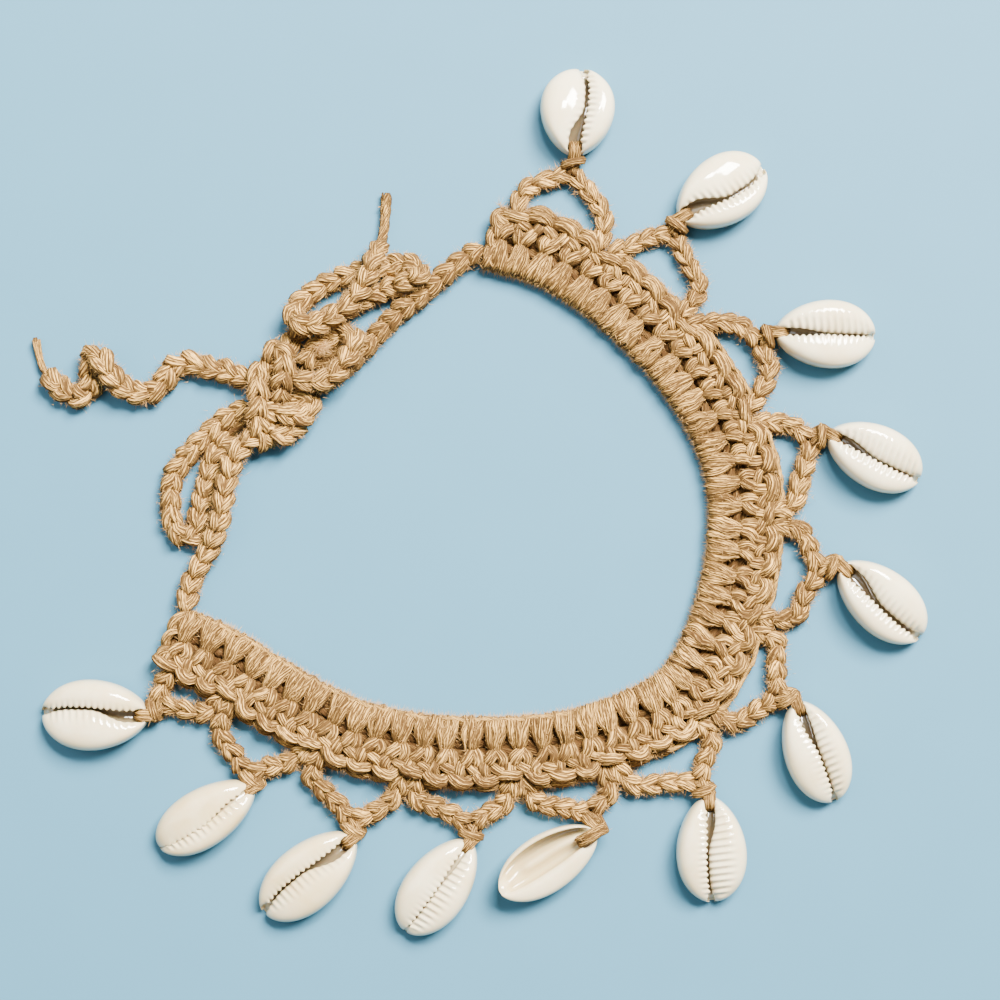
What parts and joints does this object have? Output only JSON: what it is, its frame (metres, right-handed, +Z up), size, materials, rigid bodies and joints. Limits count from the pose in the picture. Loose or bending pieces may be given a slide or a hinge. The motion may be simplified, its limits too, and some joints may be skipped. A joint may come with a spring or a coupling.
{
  "type": "crochet anklet with cowrie shells",
  "caption": "Flat crocheted cotton band with an edging of chain loops, a cut cowrie shell hanging on each, closed round the ankle by two crocheted chain ties in a bow",
  "frame": {"origin": "on the table, under the middle of the anklet as it lies flat, measured without the free lower bow and the two tails", "axes": "+Z up out of the table, +X towards the right side of the loop, +Y towards the upper end of the band"},
  "size_m": [0.1518, 0.147, 0.0075],
  "materials": {
    "yarn": "soft matte cotton yarn, slightly fuzzy",
    "shell": "glossy natural cowrie enamel"
  },
  "bodies": {
    "root": {"band": "yarn", "scallop_01": "yarn", "scallop_02": "yarn", "scallop_03": "yarn", "scallop_04": "yarn", "scallop_05": "yarn", "scallop_06": "yarn", "scallop_07": "yarn", "scallop_08": "yarn", "scallop_09": "yarn", "scallop_10": "yarn", "scallop_11": "yarn", "scallop_12": "yarn", "shell_01": "shell", "shell_02": "shell", "shell_03": "shell", "shell_04": "shell", "shell_05": "shell", "shell_06": "shell", "shell_07": "shell", "shell_08": "shell", "shell_09": "shell", "shell_10": "shell", "shell_11": "shell", "shell_12": "shell", "upper_tie": "yarn", "lower_tie": "yarn", "knot": "yarn", "upper_bow": "yarn", "upper_tail": "yarn", "lower_bow": "yarn", "left_tail": "yarn"}
  },
  "joints": []
}
